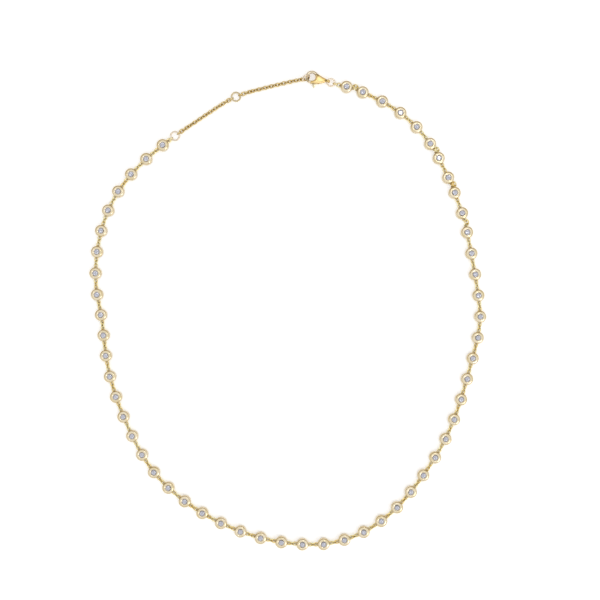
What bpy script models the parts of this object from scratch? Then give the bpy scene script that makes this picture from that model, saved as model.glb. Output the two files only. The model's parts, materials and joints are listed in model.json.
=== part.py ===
"""A bezel station necklace, lying flat and closed.

Round clear stones sit in small polished cups, joined by short runs of fine cable chain. The loop is
closed by a lobster clasp hooked into the ring at the end of an extender, which has two more rings for
wearing the necklace shorter. The runs of fine chain are plain tubes here.

Metres, +Z up. The cups' flat backs lie in the plane z = 0, and the origin is the middle of the loop.
"""

import math

import bmesh
import bpy
import numpy as np
from mathutils import Matrix, Vector

MM = 0.001

# The cups and their stones
CUP_DIAMETER = 4.2 * MM
CUP_HEIGHT = 2.15 * MM
RIM_DROP = 0.5 * MM  # the rim rounds down by this much to the straight wall
RIM_WIDTH = 0.56 * MM
COLLAR_WIDTH = 0.52 * MM  # the bright slope between the rim and the stone
COLLAR_DROP = 0.22 * MM
CROWN_HEIGHT = 0.27 * MM
TABLE_SHARE = 0.56  # the stone's flat table as a share of its width
CUP_SIDES = 12
LUG_SHARE = 0.45  # the chain joins the wall this far up the cup

# The fine cable chain
CHAIN_WIDTH = 1.24 * MM
LINK_WIRE = 0.3 * MM
LINK_LENGTH = 1.68 * MM
LINK_WIDTH = 1.32 * MM
LINK_POINTS = 12
TUBE_SPACING = 3.0 * MM
LINK_PLAY = 0.12 * MM  # how far an end link stays off the ring it goes round
END_PLAY = 0.1 * MM
HALVES_GAP = 0.2 * MM

# The spacing of the stations along the loop
STATION_PITCH = 7.3 * MM
# How far apart the stations lie from this one on, as a share of the pitch: the links' slack differs
SPREAD = {
    0: 1.01, 8: 0.967, 11: 0.996, 27: 0.978, 32: 1.0, 43: 1.016, 44: 0.932, 45: 1.016,
    46: 0.775, 47: 1.016, 48: 0.786, 49: 1.012, 53: 0.804,
}
EXTENDER_STEP = 24.9 * MM  # between the middles of the two sizing rings

# The rings
SIZING_RING_DIAMETER = 3.5 * MM
END_RING_DIAMETER = 3.1 * MM
CLASP_RING_DIAMETER = 3.1 * MM
RING_WIRE = 0.5 * MM
RING_SEGMENTS = 20
WIRE_SIDES = 8
END_RING_TILT = 64
END_RING_TURN = 44  # from the clasp's own long axis
END_RING_ANGLE = 202  # where round the hook it hangs
END_RING_SLACK = 0.3 * MM
SAG_SHARE = 0.4  # how much of its lift the chain keeps from one step to the next after the end ring
CLASP_RING_TURN = -7

# The lobster clasp: its own X runs from the middle of the hook's hole towards the tail
CLASP_PLACE = (8.2 * MM, 80.05 * MM)
CLASP_TURN = -14
CLASP_THICKNESS = 2.2 * MM
HOLE_RADIUS = 1.3 * MM
HOOK_WIRE = 0.92 * MM
NOSE_ANGLE = 246  # where the hook's nose ends, on its inner side
SHOULDER_ANGLE = 35  # where the hook's wire grows out of the body
CHEEK_ANGLE = 268  # where the cheeks end below the hole
SHOULDER_SHARE = 0.36  # the body's corners, as a share of the way to the tail
UPPER_RISE = 1.5 * MM  # how far the body's edges stand above and below the tail's
LOWER_RISE = 2.1 * MM
UPPER_BEND = 1.2  # over 1 the edge is hollow, under 1 it is full
LOWER_BEND = 0.8
BODY_STEPS = 4
EYE_REACH = 5.55 * MM  # from the hole's middle to the middle of the tail's eye
EYE_HOLE = 1.1 * MM
EYE_WALL = 0.3 * MM
EYE_THICKNESS = 0.8 * MM
TAIL_WIDTH = 1.2 * MM
TAIL_THICKNESS = 1.2 * MM
BODY_BEVEL = 0.22 * MM
PIVOT_BEHIND = 0.9 * MM  # from the hole's edge to the pivot, towards the tail
PIVOT_BELOW = 0.75 * MM
PIN_RADIUS = 0.28 * MM
PIN_PLAY = 0.12 * MM
LEVER_THICKNESS = 0.8 * MM
LEVER_PLAY = 0.12 * MM
LEVER_BOSS = 0.72 * MM
GATE_GAP = 0.12 * MM
TAB_PLACE = 1.45 * MM  # the thumb tab's middle, towards the tail from the hole's middle
TAB_LENGTH = 1.3 * MM
TAB_WIDTH = 1.6 * MM

# The way the chain lies, from the first sizing ring down the left side, along the bottom, up the right
# side to the clasp and back along the extender, in millimetres from the middle of the loop
ROUTE = [
    (-38.8, 59.9), (-43.0, 56.7), (-53.9, 46.6), (-61.7, 34.3), (-65.5, 20.2), (-65.5, 5.4),
    (-64.2, -1.3), (-62.5, -15.4), (-59.0, -29.7), (-53.5, -43.0), (-45.9, -55.6), (-35.5, -65.4),
    (-23.1, -72.9), (-9.5, -78.0), (4.7, -80.2), (12.3, -80.1), (25.9, -76.0), (37.4, -67.5),
    (46.4, -56.5), (54.0, -44.1), (59.3, -30.6), (63.3, -16.5), (65.9, -2.2), (65.3, 5.1),
    (62.9, 19.5), (59.7, 33.3), (55.0, 45.4), (48.8, 57.1), (38.5, 67.8), (25.7, 74.8),
    (20.1, 76.7), (15.1, 77.6), (7.9, 79.3), (1.4, 78.6), (-8.7, 76.2), (-17.8, 73.4), (-28.2, 67.1),
]
ROUTE_STEPS = 24

GOLD = (0.83, 0.62, 0.27, 1.0)

CUP_RADIUS = CUP_DIAMETER / 2
LUG_HEIGHT = LUG_SHARE * CUP_HEIGHT
CHAIN_RADIUS = CHAIN_WIDTH / 2
CHAIN_HEIGHT = LINK_WIDTH / 2  # a chain lying flat has its middle this far up
CLASP_HEIGHT = CLASP_THICKNESS / 2
HOOK_RADIUS = HOLE_RADIUS + HOOK_WIRE / 2
PIVOT = Vector((HOLE_RADIUS + PIVOT_BEHIND, -PIVOT_BELOW, 0))


def ring_radius(diameter):
    return (diameter - RING_WIRE) / 2


def polar(radius, degrees, height=0.0):
    angle = math.radians(degrees)
    return Vector((radius * math.cos(angle), radius * math.sin(angle), height))


class Route:
    """A closed smooth curve through the chosen points, read by the distance along it."""

    def __init__(self, points, steps):
        knots = np.array(points) * MM
        after = np.roll(knots, -1, axis=0)
        span = np.linalg.norm(after - knots, axis=1)
        before = np.roll(span, 1)
        slope = (after - knots) / span[:, None]
        count = len(knots)
        # The second derivatives that make the cubic pieces join smoothly all the way round
        matrix = np.diag(2 * (span + before))
        for row in range(count):
            matrix[row, (row + 1) % count] += span[row]
            matrix[row, (row - 1) % count] += before[row]
        bend = np.linalg.solve(matrix, 6 * (slope - np.roll(slope, 1, axis=0)))
        bend_after = np.roll(bend, -1, axis=0)
        pieces = []
        for step in range(steps):
            ahead = span[:, None] * step / steps
            behind = span[:, None] - ahead
            length = span[:, None]
            pieces.append(
                (bend * behind**3 + bend_after * ahead**3) / (6 * length)
                + (knots / length - bend * length / 6) * behind
                + (after / length - bend_after * length / 6) * ahead
            )
        curve = np.stack(pieces, axis=1).reshape(-1, 2)
        self.curve = np.vstack([curve, curve[:1]])
        self.along = np.concatenate([[0], np.cumsum(np.linalg.norm(np.diff(self.curve, axis=0), axis=1))])
        self.length = self.along[-1]

    def at(self, distance, height=0.0):
        place = distance % self.length
        return Vector((*(np.interp(place, self.along, self.curve[:, axis]) for axis in (0, 1)), height))

    def heading(self, distance):
        return (self.at(distance + 0.2 * MM) - self.at(distance - 0.2 * MM)).normalized()

    def nearest(self, point):
        offsets = np.linalg.norm(self.curve - np.array(point[:2]), axis=1)
        return self.along[int(offsets.argmin())]


def clear_scene():
    for thing in list(bpy.data.objects):
        bpy.data.objects.remove(thing)


def collection(name):
    made = bpy.data.collections.new(name)
    bpy.context.scene.collection.children.link(made)
    return made


def gold(name):
    made = bpy.data.materials.new(name)
    made.use_nodes = True
    shader = made.node_tree.nodes["Principled BSDF"]
    shader.inputs["Base Color"].default_value = GOLD
    shader.inputs["Metallic"].default_value = 1.0
    shader.inputs["Roughness"].default_value = 0.2
    return made


def add_object(name, data, home):
    thing = bpy.data.objects.new(name, data)
    home.objects.link(thing)
    return thing


def as_helper(thing):
    thing.hide_render = True
    thing.display_type = "WIRE"
    return thing


def evaluated_mesh(thing):
    """The object's shape with its modifiers or bevel applied, its doubled points made one."""
    bpy.context.view_layer.update()
    graph = bpy.context.evaluated_depsgraph_get()
    mesh = bpy.data.meshes.new_from_object(thing.evaluated_get(graph))
    shape = bmesh.new()
    shape.from_mesh(mesh)
    bmesh.ops.remove_doubles(shape, verts=shape.verts, dist=1e-7)
    shape.to_mesh(mesh)
    shape.free()
    return mesh


def boolean(thing, operation, other):
    modifier = thing.modifiers.new(other.name, "BOOLEAN")
    modifier.operation = operation
    modifier.solver = "EXACT"
    modifier.object = as_helper(other)


def bent_wire(name, paths, radius, sides, home, cyclic=False):
    """A mesh of round wires, one along each path of points."""
    curve = bpy.data.curves.new(name, "CURVE")
    curve.dimensions = "3D"
    curve.bevel_depth = radius
    curve.bevel_resolution = (sides - 4) // 2
    curve.use_fill_caps = not cyclic
    for path in paths:
        spline = curve.splines.new("POLY")
        spline.points.add(len(path) - 1)
        for point, place in zip(spline.points, path):
            point.co = (*place, 1.0)
        spline.use_cyclic_u = cyclic
    guide = add_object(name + "_guide", curve, home)
    mesh = evaluated_mesh(guide)
    bpy.data.objects.remove(guide)
    return add_object(name, mesh, home)


def turned(name, profile, sides, home):
    """A mesh made by turning a profile, listed from its top down its outer side."""
    outline = bmesh.new()
    points = [outline.verts.new((radius, 0, height)) for radius, height in profile]
    for first, second in zip(points, points[1:]):
        outline.edges.new((first, second))
    mesh = bpy.data.meshes.new(name)
    outline.to_mesh(mesh)
    outline.free()
    thing = add_object(name + "_profile", mesh, home)
    screw = thing.modifiers.new("turn", "SCREW")
    screw.steps = screw.render_steps = sides
    screw.use_merge_vertices = True
    screw.merge_threshold = 1e-7
    made = evaluated_mesh(thing)
    bpy.data.objects.remove(thing)
    return made


def plate(name, outline, half_thickness, home):
    """A flat plate of the given outline, its middle at height 0. half_thickness may depend on x."""
    shape = bmesh.new()
    sides = []
    for sign in (-1, 1):
        sides.append([shape.verts.new((x, y, sign * half_thickness(x))) for x, y in outline])
    low, high = sides
    shape.faces.new(list(reversed(low)))
    shape.faces.new(high)
    for index in range(len(outline)):
        after = (index + 1) % len(outline)
        shape.faces.new((low[index], low[after], high[after], high[index]))
    bmesh.ops.recalc_face_normals(shape, faces=shape.faces)
    mesh = bpy.data.meshes.new(name)
    shape.to_mesh(mesh)
    shape.free()
    return add_object(name, mesh, home)


def cylinder(name, radius, length, place, home, along_y=False, sides=24):
    shape = bmesh.new()
    turn = Matrix.Rotation(math.radians(90), 4, "X") if along_y else Matrix.Identity(4)
    bmesh.ops.create_cone(
        shape, cap_ends=True, segments=sides, radius1=radius, radius2=radius, depth=length,
        matrix=Matrix.Translation(place) @ turn,
    )
    mesh = bpy.data.meshes.new(name)
    shape.to_mesh(mesh)
    shape.free()
    return add_object(name, mesh, home)


def repeated(name, mesh, matrices, home, extra=()):
    """One mesh holding a copy of mesh at each matrix, and the extra objects' meshes as they are."""
    shape = bmesh.new()
    for matrix in matrices:
        copy = mesh.copy()
        copy.transform(matrix)
        shape.from_mesh(copy)
        bpy.data.meshes.remove(copy)
    for thing in extra:
        shape.from_mesh(thing.data)
        bpy.data.objects.remove(thing)
    made = bpy.data.meshes.new(name)
    shape.to_mesh(made)
    shape.free()
    return add_object(name, made, home)


def cup_and_stone(home):
    """The turned cup with its set stone: table, crown, collar, rim, wall and flat back."""
    collar_radius = CUP_RADIUS - RIM_WIDTH
    stone_radius = collar_radius - COLLAR_WIDTH
    seat = CUP_HEIGHT - COLLAR_DROP
    profile = [
        (0, seat + CROWN_HEIGHT),
        (stone_radius * TABLE_SHARE, seat + CROWN_HEIGHT),
        (stone_radius, seat),
        (collar_radius, CUP_HEIGHT),
        (CUP_RADIUS, CUP_HEIGHT - RIM_DROP),
        (CUP_RADIUS, 0),
        (0, 0),
    ]
    return turned("cup", profile, CUP_SIDES, home)


def link_path(centre, along, width_way):
    """The middle line of one oval link, lengthwise along one direction and across another."""
    straight = (LINK_LENGTH - LINK_WIDTH) / 2
    round_end = (LINK_WIDTH - LINK_WIRE) / 2
    half = LINK_POINTS // 2
    path = []
    for end in (0, 1):
        for step in range(half):
            angle = math.radians(-90 + 180 * end + 180 * step / (half - 1))
            shift = straight if end == 0 else -straight
            lengthwise = shift + round_end * math.cos(angle)
            path.append(centre + along * lengthwise + width_way * round_end * math.sin(angle))
    return path


class EndLink:
    """The last link of a run, which goes round a ring's wire. away points from the ring to the run."""

    def __init__(self, wire_middle, away, width_way=Vector((0, 0, 1))):
        self.away = away.normalized()
        inside = RING_WIRE / 2 + LINK_WIRE / 2 + LINK_PLAY
        middle_length = LINK_LENGTH - LINK_WIRE
        across = (width_way - self.away * width_way.dot(self.away)).normalized()
        centre = wire_middle + self.away * (middle_length / 2 - inside)
        self.path = link_path(centre, self.away, across)
        self.far_end = wire_middle + self.away * (middle_length - inside - LINK_WIRE / 4)


def chain_run(name, cups, links, tubes, home, workshop):
    """Fuses cups, end links and the tubes between them into one piece."""
    extra = []
    if links:
        paths = [link.path for link in links]
        extra.append(bent_wire(name + "_links", paths, LINK_WIRE / 2, 6, workshop, cyclic=True))
    mesh = cup_and_stone(workshop) if cups else None
    piece = repeated(name, mesh, cups, home, extra)
    run = bent_wire(name + "_tubes", tubes, CHAIN_RADIUS, 8, workshop)
    boolean(piece, "UNION", run)
    piece.data.materials.append(gold(name))
    return piece


def spaced(start, end):
    """Distances from start to end at about the tubes' spacing, both ends included."""
    count = max(1, round(abs(end - start) / TUBE_SPACING))
    return [start + (end - start) * step / count for step in range(count + 1)]


def ring(name, diameter, matrix, home):
    bpy.ops.mesh.primitive_torus_add(
        major_segments=RING_SEGMENTS,
        minor_segments=WIRE_SIDES,
        major_radius=ring_radius(diameter),
        minor_radius=RING_WIRE / 2,
    )
    made = bpy.context.object
    made.name = name
    for holder in list(made.users_collection):
        holder.objects.unlink(made)
    home.objects.link(made)
    made.matrix_world = matrix
    made.data.materials.append(gold(name))
    made.data.shade_smooth()
    return made


def tilted(centre, long_way, tilt):
    """A ring's matrix: level along long_way, its left side raised by tilt degrees."""
    side = Vector((-long_way.y, long_way.x, 0))
    raised = side * math.cos(math.radians(tilt)) + Vector((0, 0, math.sin(math.radians(tilt))))
    columns = (long_way, raised, long_way.cross(raised))
    return Matrix.Translation(centre) @ Matrix(columns).transposed().to_4x4()


def lever_reach():
    """How far the lever's tip is from its pivot: just short of the hook's nose."""
    return (polar(HOLE_RADIUS, NOSE_ANGLE) - PIVOT).length - GATE_GAP


def arc(centre, radius, start, end, steps):
    return [
        (centre + polar(radius, start + (end - start) * step / steps))[:2] for step in range(steps + 1)
    ]


def gate_edge(radius, start, end, steps):
    """Points at one distance from the lever's pivot, where its tip and the hook's nose face each other."""
    return arc(PIVOT, radius, start, end, steps)


def clasp_body(frame, home, workshop):
    """The hook, the cheeks that hold the lever, the pin through them and the tail with its eye."""
    outer = HOLE_RADIUS + HOOK_WIRE
    tail = EYE_REACH - EYE_HOLE / 2 - EYE_WALL / 2
    upper, lower = [], []
    for step in range(BODY_STEPS + 1):
        share = SHOULDER_SHARE + (1 - SHOULDER_SHARE) * step / BODY_STEPS
        upper.append((tail * share, TAIL_WIDTH / 2 + UPPER_RISE * (1 - share) ** UPPER_BEND))
        lower.append((tail * share, -TAIL_WIDTH / 2 - LOWER_RISE * (1 - share) ** LOWER_BEND))
    outline = [
        *arc(Vector(), outer, CHEEK_ANGLE, 280, 2),
        *lower,
        *reversed(upper),
        *arc(Vector(), HOLE_RADIUS * 0.9, SHOULDER_ANGLE + 18, 0, 3),
        *arc(Vector(), HOLE_RADIUS * 0.9, 345, CHEEK_ANGLE, 5),
    ]
    first = outer * math.cos(math.radians(CHEEK_ANGLE))

    def half_thickness(x):
        share = (x - first) / (tail - first)
        return (CLASP_THICKNESS + (TAIL_THICKNESS - CLASP_THICKNESS) * share) / 2

    body = plate("clasp_body", outline, half_thickness, home)
    bevel = body.modifiers.new("rounded edges", "BEVEL")
    bevel.width = BODY_BEVEL
    bevel.segments = 2
    hole = cylinder("hook_hole", HOLE_RADIUS, 2 * CLASP_THICKNESS, Vector(), workshop, sides=32)
    boolean(body, "DIFFERENCE", hole)

    start, end, steps = SHOULDER_ANGLE, NOSE_ANGLE + 22, 22
    path = [polar(HOOK_RADIUS, start + (end - start) * step / steps) for step in range(steps + 1)]
    hook = bent_wire("hook", [path], HOOK_WIRE / 2, 12, workshop)
    reach = lever_reach() + GATE_GAP
    sweep = [tuple(PIVOT[:2]), *gate_edge(reach, 175, 245, 12)]
    sweep_cut = plate("gate_sweep", sweep, lambda x: CLASP_THICKNESS, workshop)
    boolean(hook, "DIFFERENCE", sweep_cut)
    boolean(body, "UNION", hook)

    boss = LEVER_BOSS + LEVER_PLAY
    slot = [
        *arc(PIVOT, boss, -20, 100, 6),
        tuple(polar(HOLE_RADIUS * 0.3, 180)[:2]),
        *gate_edge(reach, 189, 226, 6),
        *gate_edge(reach + TAB_LENGTH, 227, 285, 6),
    ]
    slot_cut = plate("lever_slot", slot, lambda x: LEVER_THICKNESS / 2 + LEVER_PLAY, workshop)
    boolean(body, "DIFFERENCE", slot_cut)
    pin_length = LEVER_THICKNESS + 2 * LEVER_PLAY + 2 * PIN_RADIUS
    pin = cylinder("clasp_pin", PIN_RADIUS, pin_length, PIVOT, workshop, sides=16)
    boolean(body, "UNION", pin)

    eye_radius = EYE_HOLE / 2 + EYE_WALL
    eye_place = Vector((EYE_REACH, 0, 0))
    eye = cylinder("tail_eye", eye_radius, EYE_THICKNESS, eye_place, workshop, along_y=True)
    boolean(body, "UNION", eye)
    eye_hole = cylinder("tail_eye_hole", EYE_HOLE / 2, 3 * EYE_THICKNESS, eye_place, workshop, along_y=True)
    boolean(body, "DIFFERENCE", eye_hole)
    for thing in (body, hole, hook, sweep_cut, slot_cut, pin, eye, eye_hole):
        thing.parent = frame
    body.data.materials.append(gold("clasp_body"))
    return body


def clasp_lever(frame, home, workshop):
    """The gate: a flat arm from the pivot to the hook's nose, with a thumb tab below it."""
    outer = HOLE_RADIUS + HOOK_WIRE
    reach = lever_reach()

    def angle_at(y):
        """Where the tip's edge is at this height."""
        return 180 - math.degrees(math.asin((y - PIVOT.y) / reach))

    inner = HOLE_RADIUS * math.sin(math.radians(NOSE_ANGLE))
    outline = [
        *arc(PIVOT, LEVER_BOSS, -60, 120, 8),
        *arc(Vector(), HOLE_RADIUS, 322, NOSE_ANGLE + 8, 6),
        *gate_edge(reach, angle_at(inner), angle_at(-outer + GATE_GAP), 4),
        (TAB_PLACE - TAB_WIDTH / 2, -outer),
        (TAB_PLACE - 0.15 * TAB_WIDTH, -outer - TAB_LENGTH),
        (TAB_PLACE + 0.15 * TAB_WIDTH, -outer - TAB_LENGTH),
        (TAB_PLACE + TAB_WIDTH / 2, -outer + 0.3 * TAB_LENGTH),
    ]
    outline = [(x - PIVOT.x, y - PIVOT.y) for x, y in outline]
    lever = plate("clasp_lever", outline, lambda x: LEVER_THICKNESS / 2, home)
    lever.location = PIVOT
    lever.parent = frame
    bore = cylinder(
        "lever_bore", PIN_RADIUS + PIN_PLAY, 2 * LEVER_THICKNESS, PIVOT, workshop, sides=16
    )
    bore.parent = frame
    boolean(lever, "DIFFERENCE", bore)
    lever.data.materials.append(gold("clasp_lever"))
    return lever


def tail_ring(to_world, home):
    """The ring through the tail's eye. Returns its place, and its directions away from the eye and across."""
    radius = ring_radius(CLASP_RING_DIAMETER)
    fall = math.asin((CLASP_HEIGHT - CHAIN_HEIGHT) / (2 * radius))
    level = polar(1, CLASP_TURN + CLASP_RING_TURN)
    outwards = level * math.cos(fall) - Vector((0, 0, math.sin(fall)))
    across = Vector((-level.y, level.x, 0))
    bow = EYE_THICKNESS**2 / (8 * radius)  # how far the ring bends within the eye
    place = to_world @ Vector((EYE_REACH, 0, 0)) + outwards * (radius - bow / 2)
    turn = Matrix((outwards, across, outwards.cross(across))).transposed().to_4x4()
    ring("clasp_ring", CLASP_RING_DIAMETER, Matrix.Translation(place) @ turn, home)
    return place, outwards, across


def hooked_ring(to_world, home):
    """The ring that the hook holds, leaning on it. Returns the link that goes round it."""
    radius = ring_radius(END_RING_DIAMETER)
    hang = HOLE_RADIUS + radius - RING_WIRE / 2 - END_RING_SLACK
    place = to_world @ polar(hang, END_RING_ANGLE)
    place.z = radius * math.sin(math.radians(END_RING_TILT)) + RING_WIRE / 2
    long_way = polar(1, CLASP_TURN + END_RING_TURN)
    matrix = tilted(place, long_way, END_RING_TILT)
    ring("end_ring", END_RING_DIAMETER, matrix, home)
    return EndLink(place - long_way * radius, -long_way, matrix.to_3x3().col[2])


def link_at_sizing_ring(route, distance, side):
    """The end link on the sizing ring at this distance, ahead of it along the route (1) or behind (-1)."""
    away = route.heading(distance) * side
    return EndLink(route.at(distance, CHAIN_HEIGHT) + away * ring_radius(SIZING_RING_DIAMETER), away)


def extender(route, end_link, home, workshop):
    """The two runs of the extender, either side of the second sizing ring."""
    second = route.length - EXTENDER_STEP
    margin = ring_radius(SIZING_RING_DIAMETER) + LINK_LENGTH + TUBE_SPACING / 2
    links = link_at_sizing_ring(route, second, 1), link_at_sizing_ring(route, route.length, -1)
    middle = [route.at(d, CHAIN_HEIGHT) for d in spaced(second + margin, route.length - margin)]
    path = [links[0].far_end, *middle, links[1].far_end]
    chain_run("extender_chain_1", (), links, [path], home, workshop)

    links = end_link, link_at_sizing_ring(route, second, -1)
    start = route.nearest(end_link.far_end) + TUBE_SPACING
    middle = []
    for step, distance in enumerate(spaced(start, second - margin)):
        height = CHAIN_HEIGHT + (end_link.far_end.z - CHAIN_HEIGHT) * SAG_SHARE ** (step + 1)
        middle.append(route.at(distance, height))
    path = [links[0].far_end, *middle, links[1].far_end]
    chain_run("extender_chain_2", (), links, [path], home, workshop)


def station_distances(route, clasp_ring_place):
    """Where the cups are along the route: as many as the pitch leaves room for."""
    clasp_ring_at = route.nearest(clasp_ring_place)
    distance = ring_radius(SIZING_RING_DIAMETER) + LINK_LENGTH + CUP_RADIUS + END_PLAY
    last = clasp_ring_at - ring_radius(CLASP_RING_DIAMETER) - LINK_LENGTH + LINK_WIRE - CUP_RADIUS
    distances, spread = [], 1.0
    while distance <= last:
        spread = SPREAD.get(len(distances), spread)
        distances.append(distance)
        distance += spread * STATION_PITCH
    return distances


def stations(route, clasp_ring, home, workshop):
    """The cups and the runs between them, as two halves that meet in the middle of a run."""
    place, outwards, across = clasp_ring
    distances = station_distances(route, place)
    cups = []
    for distance in distances:
        way = route.heading(distance)
        turn = Matrix.Rotation(math.atan2(way.y, way.x), 4, "Z")
        cups.append(Matrix.Translation(route.at(distance)) @ turn)
    lugs = [route.at(distance, LUG_HEIGHT) for distance in distances]
    half = len(distances) // 2
    gaps = [list(pair) for pair in zip(lugs, lugs[1:])]
    low, high = gaps[half - 1]
    meeting = (low + high) / 2
    apart = (high - low).normalized() * HALVES_GAP / 2

    link = link_at_sizing_ring(route, 0, 1)
    tubes = [[link.far_end, lugs[0]], *gaps[: half - 1], [low, meeting - apart]]
    chain_run("station_chain_left", cups[:half], [link], tubes, home, workshop)

    onwards = lugs[-1] - place
    onwards = outwards * onwards.dot(outwards) + across * onwards.dot(across)
    wire_middle = place + onwards.normalized() * ring_radius(CLASP_RING_DIAMETER)
    away = lugs[-1] - wire_middle
    away.z = 0
    link = EndLink(wire_middle, away)
    tubes = [[meeting + apart, high], *gaps[half:], [lugs[-1], link.far_end]]
    chain_run("station_chain_right", cups[half:], [link], tubes, home, workshop)


def build():
    clear_scene()
    home = collection("bezel_station_necklace")
    workshop = collection("cutters")
    route = Route(ROUTE, ROUTE_STEPS)

    frame = bpy.data.objects.new("clasp_frame", None)
    home.objects.link(frame)
    frame.location = (*CLASP_PLACE, CLASP_HEIGHT)
    frame.rotation_euler.z = math.radians(CLASP_TURN)
    bpy.context.view_layer.update()
    clasp_body(frame, home, workshop)
    clasp_lever(frame, home, workshop)
    clasp_ring = tail_ring(frame.matrix_world, home)
    end_link = hooked_ring(frame.matrix_world, home)

    for name, distance in (("sizing_ring_1", 0), ("sizing_ring_2", route.length - EXTENDER_STEP)):
        matrix = Matrix.Translation(route.at(distance, CHAIN_HEIGHT))
        ring(name, SIZING_RING_DIAMETER, matrix, home)
    extender(route, end_link, home, workshop)
    stations(route, clasp_ring, home, workshop)


build()
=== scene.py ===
# %% [markdown]
# # A bezel station necklace
# Small round gold cups, each with one clear stone, sit along a fine cable chain. A lobster clasp
# hooks into the end of a short extender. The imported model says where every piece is, and this
# lesson dresses it: real links for plain tubes, turned cups, cut stones and polished gold.

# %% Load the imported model
import json
import math

import bmesh
import bpy
import numpy as np
from mathutils import Matrix, Vector

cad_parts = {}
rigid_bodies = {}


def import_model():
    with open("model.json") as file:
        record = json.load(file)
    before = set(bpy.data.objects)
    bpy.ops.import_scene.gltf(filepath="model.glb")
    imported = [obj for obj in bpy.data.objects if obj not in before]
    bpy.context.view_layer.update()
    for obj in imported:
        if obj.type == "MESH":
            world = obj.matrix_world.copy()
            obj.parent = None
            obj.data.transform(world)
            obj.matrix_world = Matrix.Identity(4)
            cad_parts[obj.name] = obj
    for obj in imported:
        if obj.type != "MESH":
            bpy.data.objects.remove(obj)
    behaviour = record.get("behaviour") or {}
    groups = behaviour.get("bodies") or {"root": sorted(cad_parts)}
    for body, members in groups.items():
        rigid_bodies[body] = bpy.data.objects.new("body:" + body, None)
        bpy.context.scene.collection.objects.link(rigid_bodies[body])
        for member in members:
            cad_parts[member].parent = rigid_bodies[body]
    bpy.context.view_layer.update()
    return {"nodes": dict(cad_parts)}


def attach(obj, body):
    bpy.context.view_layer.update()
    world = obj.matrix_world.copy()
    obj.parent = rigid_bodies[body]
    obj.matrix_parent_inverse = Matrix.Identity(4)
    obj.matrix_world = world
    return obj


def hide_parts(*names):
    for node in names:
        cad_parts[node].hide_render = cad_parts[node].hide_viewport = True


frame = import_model()
print("solids to dress:", ", ".join(sorted(frame["nodes"])))

MM = 0.001

# %% [markdown]
# ## How the chain lies
# Someone laid this chain down by hand, so no formula gives its shape. A smooth closed curve runs
# through a few points picked along it, and all else is placed by the distance walked along that
# curve, as a jeweller counts millimetres of chain.

# %% The curve that the chain follows
ROUTE_MM = [
    (-38.8, 59.9), (-43.0, 56.7), (-53.9, 46.6), (-61.7, 34.3), (-65.5, 20.2), (-65.5, 5.4),
    (-64.2, -1.3), (-62.5, -15.4), (-59.0, -29.7), (-53.5, -43.0), (-45.9, -55.6), (-35.5, -65.4),
    (-23.1, -72.9), (-9.5, -78.0), (4.7, -80.2), (12.3, -80.1), (25.9, -76.0), (37.4, -67.5),
    (46.4, -56.5), (54.0, -44.1), (59.3, -30.6), (63.3, -16.5), (65.9, -2.2), (65.3, 5.1),
    (62.9, 19.5), (59.7, 33.3), (55.0, 45.4), (48.8, 57.1), (38.5, 67.8), (25.7, 74.8),
    (20.1, 76.7), (15.1, 77.6), (7.9, 79.3), (1.4, 78.6), (-8.7, 76.2), (-17.8, 73.4),
    (-28.2, 67.1),
]
STEPS_BETWEEN_POINTS = 24
HEADING_SPAN = 0.2 * MM  # how far ahead and behind a heading is read


class Route:
    """A closed smooth curve, read by the distance along it from the first sizing ring."""

    def __init__(self, points_mm):
        knots = np.array(points_mm) * MM
        after = np.roll(knots, -1, axis=0)
        span = np.linalg.norm(after - knots, axis=1)
        before = np.roll(span, 1)
        slope = (after - knots) / span[:, None]
        count = len(knots)
        # one equation per point: the slope must not jump there, and solving them gives the bends
        matrix = np.diag(2 * (span + before))
        for row in range(count):
            matrix[row, (row + 1) % count] += span[row]
            matrix[row, (row - 1) % count] += before[row]
        bend = np.linalg.solve(matrix, 6 * (slope - np.roll(slope, 1, axis=0)))
        bend_after = np.roll(bend, -1, axis=0)
        length = span[:, None]
        pieces = []
        for step in range(STEPS_BETWEEN_POINTS):
            ahead = length * step / STEPS_BETWEEN_POINTS
            behind = length - ahead
            pieces.append(
                (bend * behind**3 + bend_after * ahead**3) / (6 * length)
                + (knots / length - bend * length / 6) * behind
                + (after / length - bend_after * length / 6) * ahead
            )
        curve = np.stack(pieces, axis=1).reshape(-1, 2)
        self.curve = np.vstack([curve, curve[:1]])
        steps = np.linalg.norm(np.diff(self.curve, axis=0), axis=1)
        self.along = np.concatenate([[0], np.cumsum(steps)])
        self.length = self.along[-1]

    def at(self, distance, height=0.0):
        place = distance % self.length
        x, y = (np.interp(place, self.along, self.curve[:, axis]) for axis in (0, 1))
        return Vector((x, y, height))

    def heading(self, distance):
        return (self.at(distance + HEADING_SPAN) - self.at(distance - HEADING_SPAN)).normalized()

    def nearest(self, point):
        offsets = np.linalg.norm(self.curve - np.array(point[:2]), axis=1)
        return self.along[int(offsets.argmin())]


route = Route(ROUTE_MM)
print(f"the whole loop is {route.length / MM:.1f} mm long")

# %% [markdown]
# ## Where the cups sit
# The cups are much the same chain length apart, but in a few places the slack has bunched up. One
# pitch sets them all, and a small table says from which cup on the chain lies closer or wider.

# %% The cups' places along the curve
CUP_RADIUS = 2.1 * MM
CUP_HEIGHT = 2.15 * MM
LUG_HEIGHT = 0.45 * CUP_HEIGHT
CUP_PITCH = 7.3 * MM
SPREAD_FROM_CUP = {
    0: 1.01, 8: 0.967, 11: 0.996, 27: 0.978, 32: 1.0, 43: 1.016, 44: 0.932, 45: 1.016,
    46: 0.775, 47: 1.016, 48: 0.786, 49: 1.012, 53: 0.804,
}
FIRST_CUP = 5.28 * MM
CUP_COUNT = 55
EXTENDER_STEP = 24.9 * MM

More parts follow.
